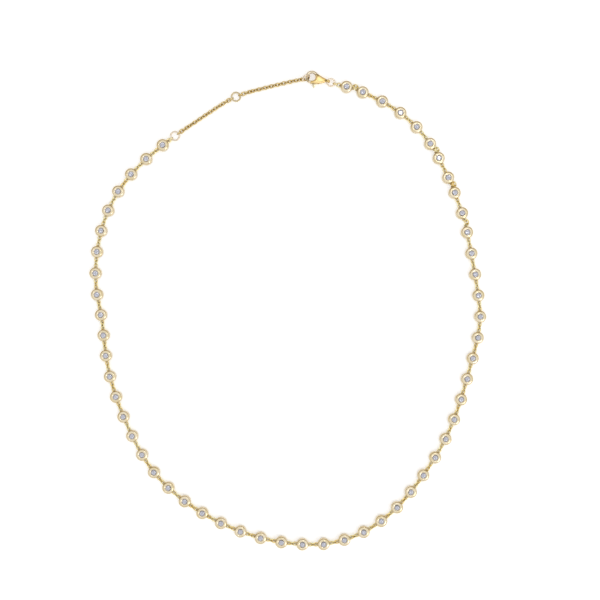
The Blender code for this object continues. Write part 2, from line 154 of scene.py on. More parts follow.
cup_distances, spread = [FIRST_CUP], 1.0
for number in range(CUP_COUNT - 1):
    spread = SPREAD_FROM_CUP.get(number, spread)
    cup_distances.append(cup_distances[-1] + spread * CUP_PITCH)
cup_places = [route.at(distance) for distance in cup_distances]
cup_ways = [route.heading(distance) for distance in cup_distances]
print(f"{CUP_COUNT} cups, the last one {cup_distances[-1] / MM:.1f} mm along")

# %% [markdown]
# ## The camera
# The photograph was taken from straight above, so the camera looks straight down. A long lens from
# far away keeps the outer cups from leaning outwards.

# %% Camera straight above the loop
CAMERA_PLACE = (0.004111, 0.003597, 0.382)
FOCAL_LENGTH = 66.6

camera = bpy.data.objects.new("camera", bpy.data.cameras.new("camera"))
bpy.context.scene.collection.objects.link(camera)
camera.location = CAMERA_PLACE
camera.data.sensor_width = 36.0
camera.data.lens = FOCAL_LENGTH
camera.data.clip_start = 0.01
bpy.context.scene.camera = camera
print(f"camera {camera.location.z / MM:.0f} mm above the table")

# %% [markdown]
# ## Writing a material as a sum
# A procedural finish is a chain of small nodes. To keep its code short, a small class stands for
# one socket, and ordinary sums with it add the Math nodes. Every other node comes from one method:
# its kind, the values or links of its sockets, and its settings.

# %% Helpers for node trees
MIX_SHARE, MIX_FIRST, MIX_SECOND, MIX_COLOUR = 0, 6, 7, 2  # the Mix node's sockets for colours


class Value:
    """One output socket. Sums written with it add Math nodes."""

    def __init__(self, nodes, socket):
        self.nodes = nodes
        self.socket = socket

    def maths(self, operation, first, second):
        return self.nodes.add("ShaderNodeMath", {0: first, 1: second}, operation=operation)

    def __add__(self, other):
        return self.maths("ADD", self, other)

    def __sub__(self, other):
        return self.maths("SUBTRACT", self, other)

    def __rsub__(self, other):
        return self.maths("SUBTRACT", other, self)

    def __mul__(self, other):
        return self.maths("MULTIPLY", self, other)

    __radd__ = __add__
    __rmul__ = __mul__


class Nodes:
    """Adds nodes to one tree."""

    def __init__(self, tree):
        self.tree = tree

    def fill(self, node, sockets):
        """Links or sets a node's sockets."""
        for name, content in sockets.items():
            socket = node.inputs[name]
            if isinstance(content, Value):
                self.tree.links.new(content.socket, socket)
            else:
                socket.default_value = content

    def add(self, kind, sockets=None, output=0, **settings):
        """A new node. What it gives back is one of its outputs."""
        node = self.tree.nodes.new(kind)
        for name, setting in settings.items():
            setattr(node, name, setting)
        self.fill(node, sockets or {})
        return Value(self, node.outputs[output])

    def noise(self, place, size, detail):
        """Cloudy values from 0 to 1, with clouds of about this size in metres."""
        sockets = {"Vector": place, "Scale": 1 / size, "Detail": detail}
        return self.add("ShaderNodeTexNoise", sockets)

    def between(self, value, low, high, bottom=0.0, top=1.0):
        """Runs smoothly from bottom to top while the value runs from low to high."""
        sockets = {"Value": value, "From Min": low, "From Max": high}
        sockets |= {"To Min": bottom, "To Max": top}
        return self.add("ShaderNodeMapRange", sockets, interpolation_type="SMOOTHSTEP")

    def blend(self, share, first, second):
        """A colour from the first to the second as the share goes from 0 to 1."""
        sockets = {MIX_SHARE: share, MIX_FIRST: first, MIX_SECOND: second}
        return self.add("ShaderNodeMix", sockets, MIX_COLOUR, data_type="RGBA")


def new_material(name):
    """A material, the maker of its nodes and its shader."""
    material = bpy.data.materials.new(name)
    material.use_nodes = True
    nodes = Nodes(material.node_tree)
    return material, nodes, nodes.tree.nodes["Principled BSDF"]


print("node helpers ready")

# %% [markdown]
# ## Polished gold
# Real polished gold is never one flat colour. The buffing wheel leaves hair-fine lines, handling
# leaves faint smears, and small dents catch the light. All three are noise, read from the object's
# own coordinates, so the pattern moves with the piece. Two numbers stored on the meshes do the
# rest: one marks painted highlights, paler gold that is also glossier, and the other painted shade.

# %% The gold finishes
# painted shade: this dark brown is mixed into the gold where the meshes carry painted shade
PAINTED_SHADE_COLOUR = (0.22, 0.15, 0.03, 1.0)
# painted highlight: the paler gold where the meshes carry a painted highlight
PAINTED_HIGHLIGHT_COLOUR = (0.92, 0.80, 0.58, 1.0)
POLISH_SHINE = 0.6
SMEAR_SIZE, LINE_SIZE, DENT_SIZE = 2.4 * MM, 0.16 * MM, 0.45 * MM
SMEAR_SHARE = 0.75  # of the cloudiness, and the lines make up the rest
SMEAR_MATTNESS = 0.05
LINE_DEPTH = 0.12
RELIEF_STRENGTH = 0.22
RELIEF_HEIGHT = 0.012 * MM


def gold(name, colour, pale, roughness, highlight_and_polish=False, dents=1.0):
    """Polished gold. colour and pale are the ends that its faint cloudiness runs between."""
    material, nodes, shader = new_material(name)
    place = nodes.add("ShaderNodeTexCoord", output="Object")
    smears = nodes.noise(place, SMEAR_SIZE, 3.0)
    lines = nodes.noise(place, LINE_SIZE, 4.0)
    specks = nodes.noise(place, DENT_SIZE, 1.0)
    # noise seldom leaves the middle of its range, so narrow ranges are stretched to the whole
    tone = nodes.between(smears * SMEAR_SHARE + lines * (1 - SMEAR_SHARE), 0.36, 0.64)
    tint = nodes.blend(tone, (*colour, 1.0), (*pale, 1.0))
    matt = nodes.between(smears, 0.35, 0.7) + nodes.between(lines, 0.45, 0.75)
    matt = roughness + matt * SMEAR_MATTNESS
    # painted highlight: a paler colour mixed in, and the metal made glossier there as well
    if highlight_and_polish:
        cut = nodes.add("ShaderNodeAttribute", output="Fac", attribute_name="highlight_and_polish")
        tint = nodes.blend(cut, tint, PAINTED_HIGHLIGHT_COLOUR)
        matt = matt * (1 - cut * POLISH_SHINE)
    # painted shade, read from a number on the mesh points
    recess = nodes.add("ShaderNodeAttribute", output="Fac", attribute_name="recess")
    relief = nodes.between(specks, 0.3, 0.42) * dents + lines * LINE_DEPTH
    relief = {"Height": relief, "Strength": RELIEF_STRENGTH, "Distance": RELIEF_HEIGHT}
    surface = {"Base Color": nodes.blend(recess, tint, PAINTED_SHADE_COLOUR), "Roughness": matt, "Metallic": 1.0}
    surface["Normal"] = nodes.add("ShaderNodeBump", relief)
    nodes.fill(shader, surface)
    return material


cup_gold = gold("polished_cup_gold", (0.82, 0.68, 0.41), (0.92, 0.80, 0.58), 0.17, highlight_and_polish=True)
chain_gold = gold("chain_gold", (0.96, 0.76, 0.33), (1.0, 0.92, 0.58), 0.16)
extender_gold = gold("extender_gold", (0.75, 0.56, 0.22), (0.85, 0.69, 0.36), 0.16)
ring_gold = gold("ring_gold", (0.66, 0.54, 0.31), (0.78, 0.66, 0.43), 0.18)
pale_gold = gold("pale_ring_gold", (0.80, 0.68, 0.52), (0.90, 0.80, 0.66), 0.18)
lever_gold = gold("lever_gold", (0.88, 0.78, 0.52), (0.94, 0.86, 0.66), 0.2, dents=0.6)
clasp_gold = gold("clasp_gold", (0.87, 0.62, 0.24), (0.92, 0.70, 0.34), 0.24, True, 0.6)
finishes = cup_gold, chain_gold, extender_gold, ring_gold, pale_gold, lever_gold, clasp_gold
print("gold finishes:", ", ".join(finish.name for finish in finishes))

# %% [markdown]
# ## The clear stone
# A cut stone shows almost no colour of its own. It bends light strongly and sends it back from its
# lower facets, so it looks like a handful of dark and bright patches. A transmissive shader with a
# high index of refraction does that once the facets are real faces. Seen this small it needs some
# help: each facet is painted darker or brighter than its neighbours, a painted reflection.

# %% The stone's material
STONE_INDEX = 2.15
PAINTED_DARK_FACET = (0.32, 0.32, 0.40, 1.0)
PAINTED_BRIGHT_FACET = (0.88, 0.89, 0.97, 1.0)


def clear_stone():
    material, nodes, shader = new_material("clear_stone")
    # painted reflections: each facet's colour is painted darker or brighter
    facet = nodes.add("ShaderNodeAttribute", output="Fac", attribute_name="painted_facet_light")
    surface = {"Base Color": nodes.blend(facet, PAINTED_DARK_FACET, PAINTED_BRIGHT_FACET), "Roughness": 0.0}
    surface |= {"IOR": STONE_INDEX, "Transmission Weight": 1.0}
    nodes.fill(shader, surface)
    return material


stone_clear = clear_stone()
print("stone index of refraction", STONE_INDEX)

# %% [markdown]
# ## Repeating a piece along the chain
# Cups, stones and links repeat. Each repeat is one point in a small mesh, which remembers how the
# piece is turned there. A Geometry Nodes tree puts the piece on every point with a small seeded
# difference in size, because no two handmade cups are quite alike. It ends by making the copies
# real, since a file for other programs can't hold linked copies.

# %% The tree that repeats a finished piece
def new_tree(name, *inputs):
    """An empty Geometry Nodes tree, its node maker and its inputs by name."""
    tree = bpy.data.node_groups.new(name, "GeometryNodeTree")
    tree.interface.new_socket("Geometry", in_out="OUTPUT", socket_type="NodeSocketGeometry")
    for title, kind in (("Points", "Geometry"), *inputs, ("Finish", "Material")):
        tree.interface.new_socket(title, in_out="INPUT", socket_type="NodeSocket" + kind)
    nodes = Nodes(tree)
    given = tree.nodes.new("NodeGroupInput").outputs
    return tree, nodes, {socket.name: Value(nodes, socket) for socket in given if socket.name}


def end_tree(nodes, geometry, finish):
    """Makes the copies real, gives them their finish and hands them out."""
    real = nodes.add("GeometryNodeRealizeInstances", {"Geometry": geometry})
    done = nodes.add("GeometryNodeSetMaterial", {"Geometry": real, "Material": finish})
    nodes.fill(nodes.tree.nodes.new("NodeGroupOutput"), {"Geometry": done})


def turned_copies(nodes, points, piece, low, high, seed):
    """The piece on every point, turned as the point says and a little larger or smaller."""
    turn = nodes.add("GeometryNodeInputNamedAttribute", {"Name": "turn"}, data_type="FLOAT_VECTOR")
    turn = nodes.add("FunctionNodeEulerToRotation", {"Euler": turn})
    # among the Random Value node's sockets, 2 and 3 take plain numbers and output 1 gives one
    size = {2: low, 3: high, "Seed": seed}
    size = nodes.add("FunctionNodeRandomValue", size, 1, data_type="FLOAT")
    sockets = {"Points": points, "Instance": piece, "Rotation": turn, "Scale": size}
    return nodes.add("GeometryNodeInstanceOnPoints", sockets)


def piece_tree():
    inputs = ("Piece", "Object"), ("Size spread", "Float"), ("Seed", "Int")
    tree, nodes, given = new_tree("repeat_a_piece", *inputs)
    piece = nodes.add("GeometryNodeObjectInfo", {"Object": given["Piece"]}, "Geometry")
    low, high = 1 - given["Size spread"], 1 + given["Size spread"]
    copies = turned_copies(nodes, given["Points"], piece, low, high, given["Seed"])
    end_tree(nodes, copies, given["Finish"])
    return tree


repeat_a_piece = piece_tree()
print("tree for cups and stones:", repeat_a_piece.name)

# %% [markdown]
# The tree needs its points. Each holds a place and a turn. After the tree has run, the result
# becomes a plain mesh, so nothing in it depends on the template any more.

# %% Points in, one plain mesh out
def add_object(name, data):
    thing = bpy.data.objects.new(name, data)
    bpy.context.scene.collection.objects.link(thing)
    return thing


def discard(*things):
    for thing in things:
        bpy.data.objects.remove(thing)


def points_mesh(name, matrices):
    """One vertex for each matrix, with the turn kept as an attribute."""
    mesh = bpy.data.meshes.new(name)
    mesh.from_pydata([matrix.translation for matrix in matrices], [], [])
    turns = mesh.attributes.new("turn", "FLOAT_VECTOR", "POINT")
    for value, matrix in zip(turns.data, matrices):
        value.vector = matrix.to_euler()
    return mesh


def plain_mesh(thing):
    """What the object looks like with its modifiers, as a mesh of its own."""
    bpy.context.view_layer.update()
    graph = bpy.context.evaluated_depsgraph_get()
    return bpy.data.meshes.new_from_object(thing.evaluated_get(graph))


def grow(name, matrices, tree, **inputs):
    """Runs the tree on the points and returns a plain object."""
    start = add_object(name + "_points", points_mesh(name + "_points", matrices))
    modifier = start.modifiers.new("repeat", "NODES")
    modifier.node_group = tree
    items = [item for item in tree.interface.items_tree if item.in_out == "INPUT"]
    sockets = {item.name: item.identifier for item in items}
    for title, value in inputs.items():
        modifier[sockets[title.replace("_", " ")]] = value
    mesh = plain_mesh(start)
    discard(start)
    print(f"{name}: {len(matrices)} copies, {len(mesh.polygons)} faces")
    return add_object(name, mesh)


# %% [markdown]
# ## A skin through rings of points
# Turned cups, bent wires and flat plates look different, but one tool makes them all. It takes
# rings of points and draws a skin from each ring to the next.

# %% From rings of points to an object
def finished(shape, name):
    """Turns a working shape into an object."""
    mesh = bpy.data.meshes.new(name)
    close(shape, mesh)
    return add_object(name, mesh)


def close(shape, mesh):
    shape.to_mesh(mesh)
    shape.free()


def skin(name, rings, closed=False):
    """A mesh through rings of points, one ring after the other. A ring may be a single point."""
    shape = bmesh.new()
    rings = [[shape.verts.new(place) for place in ring] for ring in rings]
    steps = max(len(ring) for ring in rings)
    for low, high in zip(rings, rings[1:] + rings[:1] if closed else rings[1:]):
        for step in range(steps):
            corners = [(low, step), (low, step + 1), (high, step + 1), (high, step)]
            corners = [ring[index % len(ring)] for ring, index in corners]
            shape.faces.new(list(dict.fromkeys(corners)))
    for end in () if closed else (rings[0][::-1], rings[-1]):
        if len(end) > 1:
            shape.faces.new(end)
    bmesh.ops.recalc_face_normals(shape, faces=shape.faces)
    return finished(shape, name)


def polar(radius, degrees, height=0.0):
    angle = math.radians(degrees)
    return Vector((radius * math.cos(angle), radius * math.sin(angle), height))


def circle(count, radius, height, start=0.0):
    """That many points evenly round the Z axis."""
    return [polar(radius, start + 360 * step / count, height) for step in range(count)]


print("a circle's second point of four:", circle(4, 1.0, 0.0)[1].to_tuple(1))

# %% [markdown]
# ## One cup, turned on a lathe
# A station cup starts as a turned blank: flat back, straight wall, a domed rim cut bright at its
# inner edge, and a pit for the stone. A profile spun round its axis is exactly how it is made. It
# is drawn from the middle of the back, out and up the wall, over the rim and into the pit.

# %% The turned cup
CUP_STEPS = 48
SEAT_HEIGHT = 1.93 * MM

CUP_PROFILE_MM = [
    (0.0, 0.0), (2.0, 0.0), (2.07, 0.03), (2.1, 0.1), (2.1, 1.45), (2.09, 1.58), (2.05, 1.7),
    (1.98, 1.82), (1.88, 1.93), (1.75, 2.02), (1.6, 2.09), (1.45, 2.135), (1.32, 2.15),
    (1.18, 2.14), (1.04, 2.08), (0.94, 1.99), (0.91, 1.93), (0.87, 1.86), (0.81, 1.7),
    (0.52, 1.02), (0.3, 0.9), (0.0, 0.88),
]


def turned(name, profile_mm, steps):
    """The profile spun round the Z axis. It starts and ends on the axis."""
    circles = [circle(steps if radius else 1, radius, height) for radius, height in profile_mm]
    return skin(name, [[place * MM for place in ring] for ring in circles])


cup = turned("cup", CUP_PROFILE_MM, CUP_STEPS)
print(f"cup {2 * CUP_RADIUS / MM:.1f} mm across, {cup.dimensions.z / MM:.2f} mm high")

# %% [markdown]
# ## Cutting and joining
# Closed shapes are cut and joined by Boolean modifiers. Each modifier is run at once and only what
# it makes is kept, so every step starts from a plain mesh.

# %% Helpers for modifiers
def modify(thing, kind, **settings):
    """Runs one modifier and keeps what it makes."""
    modifier = thing.modifiers.new(kind.lower(), kind)
    for name, setting in settings.items():
        setattr(modifier, name, setting)
    mesh = plain_mesh(thing)
    thing.modifiers.clear()
    thing.data = mesh
    return thing


def boolean(thing, operation, *others):
    """Joins or cuts the other closed shapes."""
    for other in others:
        modify(thing, "BOOLEAN", operation=operation, solver="EXACT", object=other)
        discard(other)
    return thing


print("ready to cut and join closed shapes")

# %% [markdown]
# ## The lugs that hold the chain
# The chain hangs in a small staple of wire, soldered across a hollow in the wall on each side. The
# hollow is a ball cut away, and the staple a bent wire pushed into the wall.

# %% Hollows and staples on the cup
HOLLOW_RADIUS = 0.88 * MM
HOLLOW_OUT = 0.38 * MM
STAPLE_WIRE = 0.4 * MM
STAPLE_OUT = 0.3 * MM
STAPLE_ROOT = 0.75 * MM  # how deep its ends reach into the wall
STAPLE_HALF_WIDTH = 0.45 * MM
STAPLE_STEPS = 8
LINK_ROLL = 45  # degrees


def wire(name, path, radii, sides, closed=False):
    """A round wire along the points, with one radius for each point."""
    rings = []
    count = len(path)
    side = None
    for index, place in enumerate(path):
        before = path[(index - 1) % count] if closed or index > 0 else place
        after = path[(index + 1) % count] if closed or index < count - 1 else place
        way = (Vector(after) - Vector(before)).normalized()
        if side is None:
            side = way.orthogonal().normalized()
        side = (side - way * side.dot(way)).normalized()
        up = way.cross(side)
        ring = []
        for step in range(sides):
            angle = 2 * math.pi * step / sides
            offset = (side * math.cos(angle) + up * math.sin(angle)) * radii[index]
            ring.append(Vector(place) + offset)
        rings.append(ring)
    return skin(name, rings, closed)


def staple(side):
    """A U of wire that stands out of the wall on one side of the cup, square to the link in it."""
    bend = STAPLE_HALF_WIDTH - STAPLE_WIRE / 2
    path = [Vector((-STAPLE_ROOT, -STAPLE_HALF_WIDTH, 0))]
    for step in range(STAPLE_STEPS + 1):
        angle = math.radians(-90 + 180 * step / STAPLE_STEPS)
        along = STAPLE_OUT - bend + bend * math.cos(angle)
        across = (STAPLE_HALF_WIDTH - bend) * (1 if angle > 0 else -1) + bend * math.sin(angle)
        path.append(Vector((along, across, 0)))
    path.append(Vector((-STAPLE_ROOT, STAPLE_HALF_WIDTH, 0)))
    turn = Matrix.Rotation(math.radians(LINK_ROLL), 4, "X")
    place = Matrix.Translation((CUP_RADIUS, 0, LUG_HEIGHT))
    flip = Matrix.Rotation(math.radians(0 if side > 0 else 180), 4, "Z")
    matrix = flip @ place @ (turn if side > 0 else turn.inverted())
    path = [matrix @ point for point in path]
    return wire(f"staple_{side}", path, [STAPLE_WIRE / 2] * len(path), 8)


hollows = []
for side in (-1, 1):
    shape = bmesh.new()
    sizes = {"u_segments": 24, "v_segments": 12, "radius": HOLLOW_RADIUS}
    place = Matrix.Translation((side * (CUP_RADIUS + HOLLOW_OUT), 0, LUG_HEIGHT))
    bmesh.ops.create_uvsphere(shape, matrix=place, **sizes)
    hollows.append(finished(shape, f"hollow_{side}"))
boolean(cup, "DIFFERENCE", *hollows)
boolean(cup, "UNION", staple(-1), staple(1))
print(f"cup with its lugs: {len(cup.data.polygons)} faces, {cup.dimensions.x / MM:.2f} mm long")

# %% [markdown]
# ## Painted shade and painted highlight
# The two hollows and the lower wall get painted shade, and the rim's inner edge a painted
# highlight. Such marks are written as a number on every point, which the gold reads.

# %% Painted shade and highlight on a cup
# painted shade in the lug hollows and down the outer wall
LUG_PAINTED_SHADE = 0.4
WALL_PAINTED_SHADE = 0.25
HIGHLIGHT_RADIUS = 1.2 * MM  # a painted highlight on the rim within this radius and over this height
HIGHLIGHT_HEIGHT = 1.9 * MM


def point_vectors(mesh, kind):
    """The coordinates ("co") or the normals ("normal") of all points."""
    vectors = np.empty(len(mesh.vertices) * 3)
    mesh.vertices.foreach_get(kind, vectors)
    return vectors.reshape(-1, 3)


def ramp(values, start, end):
    """0 at start and beyond, 1 at end and beyond, straight in between."""
    return np.clip((values - start) / (end - start), 0, 1)


def set_on_points(mesh, name, values):
    """Gives every point of the mesh a number that the gold can read."""
    layer = mesh.attributes.get(name) or mesh.attributes.new(name, "FLOAT", "POINT")
    layer.data.foreach_set("value", values.astype(np.float32))


def paint_light_on_cup(mesh):
    """Painted highlight at the rim's inner edge, painted shade in the two hollows and a little down
    the wall.
    """
    places = point_vectors(mesh, "co")
    radius = np.hypot(places[:, 0], places[:, 1])
    places[:, 0] = np.abs(places[:, 0])  # both sides are alike
    from_hollow = np.linalg.norm(places - (CUP_RADIUS + HOLLOW_OUT, 0, LUG_HEIGHT), axis=1)
    in_hollow = from_hollow < HOLLOW_RADIUS * 1.01
    at_wall = WALL_PAINTED_SHADE * ramp(radius / CUP_RADIUS, 0.9, 0.98)
    set_on_points(mesh, "recess", np.where(in_hollow, LUG_PAINTED_SHADE, at_wall))
    set_on_points(mesh, "highlight_and_polish", (radius < HIGHLIGHT_RADIUS) & (places[:, 2] > HIGHLIGHT_HEIGHT))


paint_light_on_cup(cup.data)
print(f"shaded points: {sum(mark.value > 0 for mark in cup.data.attributes['recess'].data)}")

# %% [markdown]
# ## One cut stone
# A round brilliant has a flat table on top, a ring of slanting crown facets, a thin edge called the
# girdle, and long facets below that meet in a point. The flat faces make it sparkle, so it is built
# facet by facet and never smoothed.

# %% The brilliant cut
STONE_RADIUS = 0.9 * MM
TABLE_SHARE = 0.56
CROWN_HEIGHT = 0.27 * MM
PAVILION_DEPTH = 0.86 * MM
GIRDLE_HALF = 0.02 * MM
STAR_OUT, STAR_UP = 0.80, 0.55  # the crown's middle corners, as shares of its radius and height
BELLY_OUT, BELLY_DOWN = 0.24, 0.78  # the lower corners, as shares of radius and depth
HALF_STEP = 22.5  # degrees
PAINTED_TABLE_FACET = 0.42


def opened(*things):
    """A working shape with the meshes of these objects in it."""
    shape = bmesh.new()
    for thing in things:
        shape.from_mesh(thing.data)
    return shape


def brilliant():
    """A closed stone with its girdle at the cup's seat."""
    crown, low = CROWN_HEIGHT, -PAVILION_DEPTH
    places = [
        *circle(8, STONE_RADIUS * TABLE_SHARE, crown),
        *circle(8, STONE_RADIUS * STAR_OUT, crown * STAR_UP, HALF_STEP),
        *circle(16, STONE_RADIUS, GIRDLE_HALF),
        *circle(16, STONE_RADIUS, -GIRDLE_HALF),
        *circle(8, STONE_RADIUS * BELLY_OUT, low * BELLY_DOWN, HALF_STEP),
        Vector((0, 0, low)),
    ]
    star, upper, lower, belly, tip = 8, 16, 32, 48, 56  # where each ring's points start
    faces = [list(range(8))]
    for i in range(8):
        t, t1 = i, (i + 1) % 8
        s, s0 = star + i, star + (i - 1) % 8
        b, b0 = belly + i, belly + (i - 1) % 8
        rim, under = ([ring + (2 * i + k) % 16 for k in (0, 1, 2)] for ring in (upper, lower))
        faces += [[t1, t, s], [t, s0, rim[0]], [t, rim[0], s]]
        faces += [[s, rim[0], rim[1]], [s, rim[1], rim[2]]]
        faces += [[under[1], under[0], b], [under[2], under[1], b]]
        faces += [[under[0], b0, tip], [under[0], tip, b]]
        for step in (0, 1):
            faces.append([rim[step], under[step], under[step + 1], rim[step + 1]])
    lift = Vector((0, 0, SEAT_HEIGHT))
    mesh = bpy.data.meshes.new("stone")
    mesh.from_pydata([place + lift for place in places], [], faces)
    made = add_object("stone", mesh)
    shape = opened(made)
    bmesh.ops.recalc_face_normals(shape, faces=shape.faces)
    close(shape, mesh)
    # painted reflections: a random dark or bright colour on each facet, a middling one on the table
    painted_facets = mesh.attributes.new("painted_facet_light", "FLOAT", "FACE")
    dice = np.random.default_rng(5)
    shades = dice.uniform(0.3, 1.0, len(mesh.polygons))
    shades[0] = PAINTED_TABLE_FACET
    painted_facets.data.foreach_set("value", shades.astype(np.float32))
    return made


stone = brilliant()
print(f"stone {2 * STONE_RADIUS / MM:.2f} mm across with {len(stone.data.polygons)} facets")

# %% [markdown]
# ## Cups and stones on the loop
# Each cup is turned so that its lugs point along the chain. The stones were set by hand, so each
# sits at its own angle and leans by a degree or so.

# %% All the cups and all the stones
STONE_LEAN = 2.0  # degrees
CRISP_ANGLE = 38  # degrees between faces
CUP_SPREAD = 0.0035


def shade_by_angle(thing, degrees):
    """Smooth shading with crisp edges where faces meet at more than this angle."""
    thing.data.shade_smooth()
    thing.data.set_sharp_from_angle(angle=math.radians(degrees))


dice = np.random.default_rng(11)
cup_turns, stone_turns = [], []
for place, way in zip(cup_places, cup_ways):
    lie = Matrix.Translation(place) @ Matrix.Rotation(math.atan2(way.y, way.x), 4, "Z")
    cup_turns.append(lie)
    seat = Matrix.Translation((0, 0, SEAT_HEIGHT))
    lean = Matrix.Rotation(math.radians(dice.normal(0, STONE_LEAN)), 4, "X")
    lean = lean @ Matrix.Rotation(math.radians(dice.normal(0, STONE_LEAN)), 4, "Y")
    spin = Matrix.Rotation(dice.uniform(0, 2 * math.pi), 4, "Z")
    stone_turns.append(lie @ seat @ lean @ seat.inverted() @ spin)

shade_by_angle(cup, CRISP_ANGLE)
cup_facts = {"Piece": cup, "Size_spread": CUP_SPREAD, "Seed": 3, "Finish": cup_gold}
stone_facts = {"Piece": stone, "Size_spread": 0.0, "Seed": 4, "Finish": stone_clear}
cups = grow("station_cups", cup_turns, repeat_a_piece, **cup_facts)
stones = grow("station_stones", stone_turns, repeat_a_piece, **stone_facts)
discard(cup, stone)

# %% [markdown]
# ## Links of the cable chain
# Each link is a soldered oval of round wire. Its tree bends a ring of points into an oval and runs
# a round section along it, so length, width and wire are three numbers to play with. A link is
# tiny, so twenty steps round and eight across are plenty. The bends, where link lies on link, get
# painted shade.

# %% The tree that makes the links
LINK_LENGTH = 2.0 * MM
LINK_WIDTH = 1.7 * MM
LINK_WIRE = 0.45 * MM
LINK_STEPS = 20
# painted shade on the link's bends, where the next link lies across them
BEND_PAINTED_SHADE = 0.65
BEND_STARTS, BEND_DARK = 0.5 * MM, 0.85 * MM  # from the link's middle
SMALLEST_LINK = 0.985


def link_tree():
    sizes = ("Link length", "Float"), ("Link width", "Float"), ("Wire", "Float"), ("Seed", "Int")
    tree, nodes, given = new_tree("links", *sizes)
    loop = {"Resolution": LINK_STEPS, "Radius": 1.0}
    loop = nodes.add("GeometryNodeCurvePrimitiveCircle", loop)
    half_step = {"Axis": (0.0, 0.0, 1.0), "Angle": math.pi / LINK_STEPS}
    half_step = nodes.add("FunctionNodeAxisAngleToRotation", half_step)
    loop = nodes.add("GeometryNodeTransform", {"Geometry": loop, "Rotation": half_step})
    place = nodes.add("GeometryNodeInputPosition")
    x = nodes.add("ShaderNodeSeparateXYZ", {0: place}, "X")
    y = nodes.add("ShaderNodeSeparateXYZ", {0: place}, "Y")
    bend = (given["Link width"] - given["Wire"]) * 0.5
    straight = (given["Link length"] - given["Link width"]) * 0.5
    side = nodes.add("ShaderNodeMath", {0: x}, operation="SIGN")
    oval = nodes.add("ShaderNodeCombineXYZ", {"X": x * bend + side * straight, "Z": y * bend})
    path = nodes.add("GeometryNodeSetPosition", {"Geometry": loop, "Position": oval})
    section = {"Resolution": 8, "Radius": given["Wire"] * 0.5}
    section = nodes.add("GeometryNodeCurvePrimitiveCircle", section)
    link = nodes.add("GeometryNodeCurveToMesh", {"Curve": path, "Profile Curve": section})
    link = nodes.add("GeometryNodeSetShadeSmooth", {0: link, "Shade Smooth": True})
    from_middle = nodes.add("ShaderNodeMath", {0: x}, operation="ABSOLUTE")
    # painted shade, darker towards the bends
    dark_shade = nodes.between(from_middle, BEND_STARTS, BEND_DARK, 0.0, BEND_PAINTED_SHADE)
    dark_shade = {"Geometry": link, "Name": "recess", "Value": dark_shade}
    link = nodes.add("GeometryNodeStoreNamedAttribute", dark_shade, data_type="FLOAT")
    copies = turned_copies(nodes, given["Points"], link, SMALLEST_LINK, 1.0, given["Seed"])
    end_tree(nodes, copies, given["Finish"])
    return tree


links_tree = link_tree()
print("tree for links:", links_tree.name)

# %% [markdown]
# ## Laying the links
# In a cable chain every link is turned a quarter turn from the one before. Three links fit between
# two cups, rolled 45 degrees one way and the other. Where the cups have bunched up, the middle link
# drops flat and is pushed out to the side of the loop.

# %% Links between the cups
LINKS_BETWEEN = 3
LINK_REACH = 1.1 * MM  # what one link adds to the chain's length
TIGHTEST = 0.9 * MM
PRESS = 0.01 * MM
SPARE_DROP = 0.3 * MM
SPARE_ROLL = 84  # degrees, nearly flat


def facing(place, along, across):
    """Where a thing is: its X axis along the one way and its Y axis along the other."""
    turn = Matrix((along, across, along.cross(across))).transposed()
    return Matrix.Translation(place) @ turn.to_4x4()


def lying(place, way, roll):
    """Where a link is: its length along way, its width upright when roll is 0."""
    along = way.normalized()
    left = Vector((0, 0, 1)).cross(along).normalized()
    return facing(place, along, left) @ Matrix.Rotation(math.radians(roll), 4, "X")


def on_route(distance, height, roll):
    return lying(route.at(distance, height), route.heading(distance), roll)


def links_between(first, second):
    """The three links between two cups, by the cups' distances along the route."""
    room = second - first - 2 * CUP_RADIUS
    step = (room + PRESS) / LINKS_BETWEEN
    middle = (first + second) / 2
    if step >= TIGHTEST:
        spots = [(middle + k * step, LINK_ROLL * (1 if k else -1)) for k in (-1, 0, 1)]
        return [on_route(at, LUG_HEIGHT, roll) for at, roll in spots]
    start = route.at(first + CUP_RADIUS, LUG_HEIGHT)
    end = route.at(second - CUP_RADIUS, LUG_HEIGHT)
    chord = end - start
    along = chord.normalized()
    outwards = Vector((along.y, -along.x, 0))
    outwards *= 1 if outwards.dot(start) > 0 else -1
    back = (chord.length - LINK_REACH) / 2
    out = math.sqrt(LINK_REACH**2 - back**2)
    push = outwards * out
    drop = Vector((0, 0, -SPARE_DROP))
    corners = [start, start + along * back + push + drop, end - along * back + push + drop, end]
    rolls = (LINK_ROLL, SPARE_ROLL, LINK_ROLL)
    return [lying((a + b) / 2, b - a, roll) for a, b, roll in zip(corners, corners[1:], rolls)]


station_links = []
for first, second in zip(cup_distances, cup_distances[1:]):
    station_links += links_between(first, second)
print(f"{len(station_links)} links between {CUP_COUNT} cups")

# %% [markdown]
# ## The rings
# Two sizing rings, the ring that the clasp hooks into and the ring through its tail are jump rings:
# wire wound on a rod, sawn through and closed. The saw cut shows as a hair line, so the wire is
# pinched there.

# %% Where the rings are
RING_WIRE = 0.6 * MM
SIZING_RING_RADIUS = 1.5 * MM
CLASP_RING_RADIUS = 1.3 * MM
END_RING_RADIUS = 1.3 * MM
SAW_CUT = 0.95  # the wire's share that is left at the hair line
CHAIN_HEIGHT = LINK_WIDTH / 2  # an upright link stands on the table
CLASP_PLACE = Vector((8.2, 80.05, 1.1)) * MM
CLASP_TURN = -14  # degrees
CLASP_RING_SWING = 7  # degrees
EYE_REACH = 5.55 * MM
EYE_THICKNESS = 0.8 * MM
HOLE_RADIUS = 1.3 * MM
END_RING_TILT = 64
END_RING_TURN = 44  # from the clasp's own long axis
END_RING_ANGLE = 202  # where round the hook it hangs
END_RING_SLACK = 0.55 * MM
clasp_matrix = Matrix.Translation(CLASP_PLACE) @ Matrix.Rotation(math.radians(CLASP_TURN), 4, "Z")


